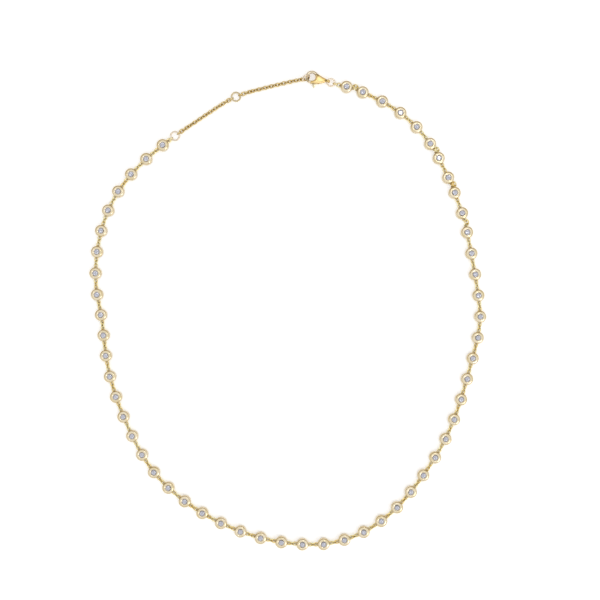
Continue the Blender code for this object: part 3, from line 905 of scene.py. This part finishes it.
def clasp_ring_lie():
    """The ring through the tail's eye slopes down from the eye to the chain."""
    fall = math.asin((CLASP_PLACE.z - CHAIN_HEIGHT) / (2 * CLASP_RING_RADIUS))
    level = polar(1, CLASP_TURN - CLASP_RING_SWING)
    outwards = level * math.cos(fall) - Vector((0, 0, math.sin(fall)))
    across = Vector((-level.y, level.x, 0))
    bow = EYE_THICKNESS**2 / (8 * CLASP_RING_RADIUS)
    place = clasp_matrix @ Vector((EYE_REACH, 0, 0)) + outwards * (CLASP_RING_RADIUS - bow / 2)
    return facing(place, outwards, across)


def end_ring_lie():
    """The hooked ring leans on the hook: level along one way and tilted across it."""
    hang = HOLE_RADIUS + END_RING_RADIUS - END_RING_SLACK
    tilt = math.radians(END_RING_TILT)
    place = clasp_matrix @ polar(hang, END_RING_ANGLE)
    place.z = END_RING_RADIUS * math.sin(tilt) + RING_WIRE / 2
    along = polar(1, CLASP_TURN + END_RING_TURN)
    side = Vector((-along.y, along.x, 0))
    raised = side * math.cos(tilt) + Vector((0, 0, math.sin(tilt)))
    return facing(place, along, raised)


def ring(name, radius, matrix, seam_angle, finish):
    """A closed jump ring with the hair line of its saw cut."""
    steps, sides = 56, 14
    path, radii = [], []
    for step in range(steps):
        path.append(matrix @ polar(radius, 360 * step / steps + seam_angle))
        radii.append(RING_WIRE / 2 * (SAW_CUT if step == 0 else 1.0))
    made = wire(name, path, radii, sides, closed=True)
    made.data.shade_smooth()
    made.data.materials.append(finish)
    return made


second_ring_at = route.length - EXTENDER_STEP
first_lie = Matrix.Translation(route.at(0, CHAIN_HEIGHT))
second_lie = Matrix.Translation(route.at(second_ring_at, CHAIN_HEIGHT))
ring_lies = {  # radius, place and turn, where the saw cut is, finish
    "sizing_ring_1": (SIZING_RING_RADIUS, first_lie, 140, pale_gold),
    "sizing_ring_2": (SIZING_RING_RADIUS, second_lie, 300, ring_gold),
    "end_ring": (END_RING_RADIUS, end_ring_lie(), 70, pale_gold),
    "clasp_ring": (CLASP_RING_RADIUS, clasp_ring_lie(), 110, pale_gold),
}
rings = {name + "_wire": ring(name + "_wire", *facts) for name, facts in ring_lies.items()}
print("rings:", ", ".join(rings))

# %% [markdown]
# ## Links at the rings and along the extender
# A link that goes through a ring lies square to it. Further away the extender's links slowly roll
# over until they alternate 45 degrees either way, as between the cups.

# %% The other links
THROUGH = LINK_LENGTH / 2 - LINK_WIRE - RING_WIRE / 2  # from a ring's wire to its link's middle
EXTENDER_PITCH = 1.083 * MM
LINKS_TO_ROLL_OVER = 5
FALL_LENGTH = 3 * MM  # over this length a raised end comes down to SAG_SHARE of its height
SAG_SHARE = 0.4
END_LEAN = 43  # degrees
FIRST_LINK_HEIGHT = 0.85 * MM
FIRST_LINK_ROLL = 62
LAST_RUN_ROLL = 4
LAST_RUN_ENDS = 0.54 * MM
LAST_RUN_PLAY = 0.02 * MM


def extender_run(start, end, lift=0.0, lean=0.0):
    """Links from one distance to another. lift and lean belong to the end at start."""
    count = round(abs(end - start) / EXTENDER_PITCH)
    made = []
    for index in range(count + 1):
        distance = start + (end - start) * (index / count)
        fade = SAG_SHARE ** (abs(distance - start) / FALL_LENGTH)
        place = route.at(distance, CHAIN_HEIGHT + lift * fade)
        slope = lift * fade * math.log(SAG_SHARE) / FALL_LENGTH
        way = route.heading(distance) * (1 if end > start else -1) + Vector((0, 0, slope))
        inside = min(index, count - index)
        roll = LINK_ROLL * min(1.0, inside / LINKS_TO_ROLL_OVER) + 90 * (index % 2)
        made.append(lying(place, way, roll + lean * fade))
    return made


def run_from_clasp_ring():
    """A short straight run from the clasp's ring to the last cup."""
    ring_lie = ring_lies["clasp_ring"][1]
    normal = ring_lie.to_3x3().col[2]
    last_cup = cup_places[-1] + cup_ways[-1] * CUP_RADIUS + Vector((0, 0, LUG_HEIGHT))
    towards = last_cup - ring_lie.translation
    towards -= normal * towards.dot(normal)
    wire_middle = ring_lie.translation + towards.normalized() * CLASP_RING_RADIUS
    to_cup = last_cup - wire_middle
    count = max(2, round((to_cup.length - LAST_RUN_ENDS) / LINK_REACH) + 1)
    first = THROUGH + LAST_RUN_PLAY
    last = to_cup.length - LINK_REACH / 2
    made = []
    for index in range(count):
        distance = first + (last - first) * index / (count - 1)
        place = wire_middle + to_cup.normalized() * distance
        made.append(lying(place, to_cup, LAST_RUN_ROLL + 90 * (index % 2)))
    print(f"clasp ring to the last cup: {to_cup.length / MM:.2f} mm, {count} links")
    return made


through = SIZING_RING_RADIUS + THROUGH
extender_links = extender_run(second_ring_at + through, route.length - through)

end_lie = ring_lies["end_ring"][1]
end_link = end_lie.translation - end_lie.to_3x3().col[0] * (END_RING_RADIUS + THROUGH)
end_at = route.nearest(end_link)
end_lift = end_link.z - CHAIN_HEIGHT
extender_links += extender_run(end_at, second_ring_at - through, end_lift, END_LEAN)

to_first_cup = FIRST_CUP - CUP_RADIUS - LINK_REACH / 2
station_links.append(on_route(through, CHAIN_HEIGHT, 0))
station_links.append(on_route(to_first_cup, FIRST_LINK_HEIGHT, FIRST_LINK_ROLL))
station_links += run_from_clasp_ring()

link_facts = {"Link_length": LINK_LENGTH, "Link_width": LINK_WIDTH, "Wire": LINK_WIRE}
link_facts |= {"Seed": 21, "Finish": chain_gold}
station_chain = grow("station_links", station_links, links_tree, **link_facts)
link_facts |= {"Seed": 22, "Finish": extender_gold}
extender_chain = grow("extender_links", extender_links, links_tree, **link_facts)

# %% [markdown]
# ## The lobster clasp's body
# The body of a lobster clasp is cast: a wedge that narrows to the tail, with a round hook growing
# out of it. This is the wedge's outline, seen from above and measured from the middle of the hook's
# hole.

# %% The outline of the clasp
HOOK_WIRE = 0.92 * MM
NOSE_ANGLE = 246  # degrees round the hole, like the next four
SHOULDER_ANGLE = 35
CHEEK_ANGLE = 268
CHEEK_END = 282
SHOULDER_WRAP = 18
HOLE_SHARE = 0.99  # the body starts just inside the hook's own hole
SHOULDER_SHARE = 0.36
CLASP_THICKNESS = 2.2 * MM
EYE_HOLE = 1.1 * MM
EYE_WALL = 0.3 * MM
TAIL_WIDTH = 1.2 * MM
UPPER_RISE = 1.5 * MM  # how far the body's edges stand above and below the tail's
LOWER_RISE = 2.1 * MM
UPPER_BEND = 1.2  # over 1 the edge is hollow, under 1 it is full
LOWER_BEND = 0.8
TAIL_THICKNESS = 1.2 * MM
PIVOT = Vector((HOLE_RADIUS + 0.9 * MM, -0.75 * MM, 0))
HOOK_OUTER = HOLE_RADIUS + HOOK_WIRE
TAIL_END = EYE_REACH - EYE_HOLE / 2 - EYE_WALL / 2


def arc(centre, radius, start, end, steps):
    angles = [start + (end - start) * step / steps for step in range(steps + 1)]
    return [tuple((centre + polar(radius, angle))[:2]) for angle in angles]


def body_outline():
    upper, lower = [], []
    for step in range(13):
        share = SHOULDER_SHARE + (1 - SHOULDER_SHARE) * step / 12
        upper.append((TAIL_END * share, TAIL_WIDTH / 2 + UPPER_RISE * (1 - share) ** UPPER_BEND))
        lower.append((TAIL_END * share, -TAIL_WIDTH / 2 - LOWER_RISE * (1 - share) ** LOWER_BEND))
    hole = HOLE_RADIUS * HOLE_SHARE
    return [
        *arc(Vector(), HOOK_OUTER, CHEEK_ANGLE, CHEEK_END, 4),
        *lower,
        *reversed(upper),
        *arc(Vector(), hole, SHOULDER_ANGLE + SHOULDER_WRAP, 0, 12),
        *arc(Vector(), hole, 355, CHEEK_ANGLE, 18),
    ]


def body_half_thickness(x):
    share = min(1.0, max(0.0, x / TAIL_END))
    return (CLASP_THICKNESS + (TAIL_THICKNESS - CLASP_THICKNESS) * share) / 2


def plate(name, outline, half_thickness):
    """A flat plate of this outline, its middle at height 0."""
    sides = [[(x, y, side * half_thickness(x)) for x, y in outline] for side in (-1, 1)]
    return skin(name, sides)


def distance_to_outline(points, outline):
    """How far each point is from the nearest edge of the outline, seen from above."""
    starts = np.array(outline)
    ends = np.roll(starts, -1, axis=0)
    edges = ends - starts
    offsets = points[:, None, :] - starts[None]
    share = (offsets * edges).sum(2) / np.maximum((edges**2).sum(1), 1e-18)
    nearest = starts + np.clip(share, 0, 1)[:, :, None] * edges
    return np.linalg.norm(points[:, None, :] - nearest, axis=2).min(1)


outline = body_outline()
print(f"clasp outline: {len(outline)} points, tail {TAIL_END / MM:.2f} mm from the hole's middle")

# %% [markdown]
# ## One skin over wedge, hook and eye
# The flat wedge becomes a pillow, thinner towards its outline. Hook and eye are pushed into it, a
# voxel remesh draws one skin over all three, and smoothing melts the seams away, as a file and a
# buff would do.

# %% The pillowed body and the hook in one skin
SKIN_SIZE = 0.065 * MM
EDGE_ROUNDING = 0.8 * MM
EDGE_SHARE = 0.5  # of the thickness is left at the outline
HOOK_OVERLAP = 14  # degrees that the hook's wire runs on at both ends
HOOK_ROOT = 0.12  # how much thicker the hook starts


def one_skin(thing):
    return modify(thing, "REMESH", mode="VOXEL", voxel_size=SKIN_SIZE)


def pillow(thing):
    """Rounds the flat plate towards its outline, thick in the middle and thin at the edge."""
    places = point_vectors(thing.data, "co")
    inwards = np.clip(distance_to_outline(places[:, :2], outline) / EDGE_ROUNDING, 0, 1)
    places[:, 2] *= EDGE_SHARE + (1 - EDGE_SHARE) * np.sqrt(1 - (1 - inwards) ** 2)
    thing.data.vertices.foreach_set("co", places.ravel())
    return thing


def smoothed(thing, rounds):
    shape = opened(thing)
    axes = {"use_axis_x": True, "use_axis_y": True, "use_axis_z": True}
    for _ in range(rounds):
        bmesh.ops.smooth_vert(shape, verts=shape.verts, factor=0.5, **axes)
    close(shape, thing.data)
    return thing


def hook_wire():
    """A round wire round the hole, thickest where it leaves the body."""
    path, radii = [], []
    start, end, steps = SHOULDER_ANGLE - HOOK_OVERLAP, NOSE_ANGLE + HOOK_OVERLAP, 60
    for step in range(steps + 1):
        share = step / steps
        path.append(polar(HOLE_RADIUS + HOOK_WIRE / 2, start + (end - start) * share))
        radii.append(HOOK_WIRE / 2 * (1.0 + HOOK_ROOT * max(0.0, 1 - 3 * share)))
    return wire("hook", path, radii, 20)


def drum(name, radius, length, matrix, steps):
    shape = bmesh.new()
    sizes = {"segments": steps, "radius1": radius, "radius2": radius, "depth": length}
    bmesh.ops.create_cone(shape, cap_ends=True, matrix=matrix, **sizes)
    return finished(shape, name)


eye_lie = Matrix.Translation((EYE_REACH, 0, 0)) @ Matrix.Rotation(math.radians(90), 4, "X")
nose_reach = (polar(HOLE_RADIUS, NOSE_ANGLE) - PIVOT).length
gate_sweep = [tuple(PIVOT[:2]), *arc(PIVOT, nose_reach, 175, 245, 24)]
gate_sweep = plate("gate_sweep", gate_sweep, lambda x: CLASP_THICKNESS)
hook = boolean(hook_wire(), "DIFFERENCE", gate_sweep)
body = pillow(one_skin(plate("clasp_body_shape", outline, body_half_thickness)))
eye = drum("eye", EYE_HOLE / 2 + EYE_WALL, EYE_THICKNESS, eye_lie, 40)
close(opened(body, hook, eye), body.data)
discard(hook, eye)
body = smoothed(one_skin(body), 5)
print(f"clasp skin: {len(body.data.polygons)} faces")

# %% [markdown]
# ## Slot, gate and pin
# The lever sits in a slot between two cheeks and turns on a pin. Its tip and the hook's nose meet
# along an arc about the pin, which is why the gate can be a tight fit and still swing. The cuts use
# the same arcs, so lever and body can't disagree. They are made after the smoothing, so their edges
# stay crisp.

# %% Cutting the clasp's body
LEVER_THICKNESS = 0.8 * MM
LEVER_PLAY = 0.12 * MM
LEVER_BOSS = 0.72 * MM
TAB_LENGTH = 1.3 * MM
PIN_RADIUS = 0.28 * MM

slot_outline = [
    *arc(PIVOT, LEVER_BOSS + LEVER_PLAY, -20, 100, 10),  # round the lever's boss
    tuple(polar(HOLE_RADIUS * 0.3, 180)[:2]),  # out into the hole
    *arc(PIVOT, nose_reach, 189, 226, 12),  # past the hook's nose
    *arc(PIVOT, nose_reach + TAB_LENGTH, 227, 285, 10),  # the way of the thumb tab
]
slot_cut = plate("lever_slot", slot_outline, lambda x: LEVER_THICKNESS / 2 + LEVER_PLAY)
eye_cut = drum("eye_hole", EYE_HOLE / 2, 3 * EYE_THICKNESS, eye_lie, 40)
boolean(body, "DIFFERENCE", slot_cut, eye_cut)


def rivet():
    """The lever's pin: a rod through both cheeks with its ends hammered to low domes."""
    half = body_half_thickness(PIVOT.x) / MM
    radius = PIN_RADIUS / MM
    profile = [(0, -half - 0.02), (0.5 * radius, -half - 0.01), (radius, -half + 0.05)]
    profile += [(radius, half - 0.05), (0.5 * radius, half + 0.01), (0, half + 0.02)]
    made = turned("pin", profile, 24)
    made.data.transform(Matrix.Translation(PIVOT))
    return made


boolean(body, "UNION", rivet())
print(f"clasp with slot, eye and rivet: {len(body.data.polygons)} faces")

# %% [markdown]
# ## Painted shade and highlight on the clasp
# Painted shade lies down the hook's sides and in the corners, and the hook's top has a painted
# highlight and is glossier.

# %% Painted shade and painted highlight on the clasp's body
METAL_CRISP_ANGLE = 40  # degrees between faces
# painted shade on the sides, darker the further their faces turn from up
HOOK_SIDE_SHADE = 0.75
BODY_SIDE_SHADE = 0.35
# painted shade in these corners
SHADED_CORNERS_MM = [  # along and across the clasp from the hole's middle, how wide, how dark
    (1.85, 0.95, 0.55, 0.85),  # between hook and shoulder
    (4.95, 0.0, 0.55, 0.8),  # where the tail runs into the eye
    (5.5, 0.0, 0.5, 0.45),
    (-0.9, -1.0, 0.85, 0.9),  # the hook's nose under the end ring
    (0.9, -2.4, 0.5, 0.85),  # where the thumb tab comes out
    (1.35, -0.2, 0.3, 0.5),
]


def paint_light_on_body(mesh):
    """Painted shade in the corners and down the sides, and a painted highlight on the hook's top."""
    places = point_vectors(mesh, "co")
    upright = np.abs(point_vectors(mesh, "normal")[:, 2])
    reach = np.hypot(places[:, 0], places[:, 1])
    turn = np.degrees(np.arctan2(places[:, 1], places[:, 0])) % 360
    on_hook = (turn > SHOULDER_ANGLE) & (turn < NOSE_ANGLE + 5) & (reach < HOOK_OUTER * 1.05)
    on_body_sides = BODY_SIDE_SHADE * ramp(upright, 0.5, 0)
    dark_shade = np.where(on_hook, HOOK_SIDE_SHADE * ramp(upright, 0.88, 0.68), on_body_sides)
    for x, y, spread, dark in SHADED_CORNERS_MM:
        away = np.hypot(places[:, 0] - x * MM, places[:, 1] - y * MM) / (spread * MM)
        dark_shade = np.maximum(dark_shade, dark * ramp(away**2, 1, 0))
    set_on_points(mesh, "recess", dark_shade)
    # painted highlight on the hook's upward faces, which are also glossier
    set_on_points(mesh, "highlight_and_polish", np.where(on_hook, ramp(upright, 0.6, 0.85), 0.0))


def placed(thing, finish):
    """Moves the finished metal from the drawing's middle to the clasp's place."""
    thing.data.transform(clasp_matrix)
    thing.data.materials.append(finish)


shade_by_angle(body, METAL_CRISP_ANGLE)
paint_light_on_body(body.data)
placed(body, clasp_gold)
body.name = "clasp_hook_and_body"
print(f"clasp body: {len(body.data.polygons)} faces")

# %% [markdown]
# ## The lever
# The lever is a flat stamping with eased edges: a round boss on the pin, an arm along the bottom of
# the hole up to the hook's nose, and a small tab below for a thumbnail.

# %% The lever with its thumb tab
GATE_GAP = 0.12 * MM
TAB_PLACE = 1.45 * MM
TAB_WIDTH = 1.6 * MM
EASED_EDGE = 0.13 * MM
TAB_TIP_SHARE = 0.32  # half the tab's rounded end, as a share of its width
TAB_ROUND_SHARE = 0.55  # of the tab's length is round
# painted shade on the tab where it comes out from the cheeks
TAB_PAINTED_SHADE = 0.85
TAB_SHADE_AT = 2.4 * MM  # how far below the hole's middle the tab comes out from the cheeks
TAB_SHADE_SPREAD = 0.5 * MM


def lever_outline():
    reach = nose_reach - GATE_GAP

    def angle_at(y):
        return 180 - math.degrees(math.asin((y - PIVOT.y) / reach))

    inner = HOLE_RADIUS * math.sin(math.radians(NOSE_ANGLE))
    round_part = TAB_LENGTH * TAB_ROUND_SHARE
    tab = []
    for step in range(9):
        angle = math.radians(180 + 180 * step / 8)
        x = TAB_PLACE + TAB_WIDTH * TAB_TIP_SHARE * math.cos(angle)
        tab.append((x, -HOOK_OUTER - (TAB_LENGTH - round_part) + round_part * math.sin(angle)))
    return [
        *arc(PIVOT, LEVER_BOSS, -60, 120, 20),  # the boss round the pin
        *arc(Vector(), HOLE_RADIUS, 322, NOSE_ANGLE + 8, 16),  # along the hole
        *arc(PIVOT, reach, angle_at(inner), angle_at(-HOOK_OUTER + GATE_GAP), 8),  # the tip
        (TAB_PLACE - TAB_WIDTH / 2, -HOOK_OUTER),
        *tab,
        (TAB_PLACE + TAB_WIDTH / 2, -HOOK_OUTER + 0.3 * TAB_LENGTH),
    ]


lever = plate("clasp_lever_arm", lever_outline(), lambda x: LEVER_THICKNESS / 2)
pivot_lie = Matrix.Translation(PIVOT)
bore = drum("bore", PIN_RADIUS + LEVER_PLAY, 2 * LEVER_THICKNESS, pivot_lie, 48)
boolean(lever, "DIFFERENCE", bore)
sharp = {"limit_method": "ANGLE", "angle_limit": math.radians(50)}
modify(lever, "BEVEL", width=EASED_EDGE, segments=3, **sharp)
shade_by_angle(lever, METAL_CRISP_ANGLE)
# painted shade, darkest where the tab leaves the cheeks
from_cheeks = np.abs(point_vectors(lever.data, "co")[:, 1] + TAB_SHADE_AT)
set_on_points(lever.data, "recess", TAB_PAINTED_SHADE * ramp(from_cheeks, TAB_SHADE_SPREAD, 0))
placed(lever, lever_gold)
print(f"lever: {len(lever.data.polygons)} faces, {lever.dimensions.x / MM:.1f} mm long")

# %% [markdown]
# ## Each piece rides on its body
# All the metal and the stones ride on the necklace itself, and only the lever moves against it.
# The imported solids that the pieces stand for are hidden.

# %% Hand the pieces to the imported model
for piece in (cups, stones, station_chain, extender_chain, body, *rings.values()):
    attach(piece, "root")
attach(lever, "clasp_lever")

for piece in (cups, stones, station_chain):
    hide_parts("station_chain_left", "station_chain_right")
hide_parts("extender_chain_1", "extender_chain_2")
for name, piece in rings.items():
    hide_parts(name.removesuffix("_wire"))
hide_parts("clasp_body")
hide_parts("clasp_lever")
print("pieces on the lever's body:", lever.name)

# %% [markdown]
# ## The white table
# Jewellery is photographed on a white table under large soft lights. The table glows a little,
# which keeps it pure white round the fine chain.

# %% The white table
TABLE_REACH = 8.0  # metres from its middle to its edge
TABLE_WHITE = (0.9, 0.9, 0.9, 1.0)
TABLE_GLOW = 0.38

bpy.context.scene.view_settings.view_transform = "Standard"


def white_table():
    shape = bmesh.new()
    bmesh.ops.create_grid(shape, x_segments=1, y_segments=1, size=TABLE_REACH)
    top = finished(shape, "table_top")
    material, nodes, shader = new_material("white_table")
    surface = {"Base Color": TABLE_WHITE, "Roughness": 0.8, "Specular IOR Level": 0.2}
    surface |= {"Emission Color": (1.0, 1.0, 1.0, 1.0), "Emission Strength": TABLE_GLOW}
    nodes.fill(shader, surface)
    top.data.materials.append(material)
    return top


table_top = white_table()
print("table", table_top.dimensions.x, "m wide")

# %% [markdown]
# ## The sky and two lamps
# Polished metal shows what is round it, and in an all white room it has no edges. So the sky is
# white above and a dark warm brown low down, and on the far side the brown reaches further up. Two
# round lamps add highlights, a wide soft one and a small one for sparkle.

# %% The sky of soft light
SKY_WHITE = (0.97, 0.98, 1.0, 1.0)
SKY_BROWN = (0.30, 0.19, 0.06, 1.0)
SKY_STRENGTH = 0.9
DARK_SIDE = (-0.25, 0.97, 0.0)
LOW_DARKNESS = 0.75


def studio_sky():
    """White above, brown low all round, and brown up to half height on the dark side."""
    world = bpy.data.worlds.new("studio")
    world.use_nodes = True
    bpy.context.scene.world = world
    nodes = Nodes(world.node_tree)
    way = nodes.add("ShaderNodeTexCoord")  # in a sky it gives the direction
    height = nodes.add("ShaderNodeSeparateXYZ", {0: way}, "Z")
    towards = {0: way, 1: DARK_SIDE}
    towards = nodes.add("ShaderNodeVectorMath", towards, "Value", operation="DOT_PRODUCT")
    all_round = nodes.between(height, 0.02, 0.55, 1.0, 0.0) * LOW_DARKNESS
    one_side = nodes.between(height, 0.35, 0.72, 1.0, 0.0) * nodes.between(towards, 0.0, 0.6)
    tone = nodes.blend(all_round + one_side * (1 - all_round), SKY_WHITE, SKY_BROWN)
    nodes.fill(nodes.tree.nodes["Background"], {"Color": tone, "Strength": SKY_STRENGTH})


def soft_light(name, place, size, power):
    light = bpy.data.lights.new(name, "AREA")
    light.shape = "DISK"
    light.size = size
    light.energy = power
    lamp = add_object(name, light)
    lamp.location = place
    lamp.rotation_euler = (-Vector(place)).to_track_quat("-Z", "Y").to_euler()


studio_sky()
soft_light("key_light", (0.35, -0.30, 0.45), 0.25, 0.40)
soft_light("sparkle_light", (0.12, 0.14, 0.60), 0.06, 0.07)

# %% [markdown]
# ## The size
# The dressed necklace must be as big as the imported model.

# %% Finish
print("the necklace is dressed")
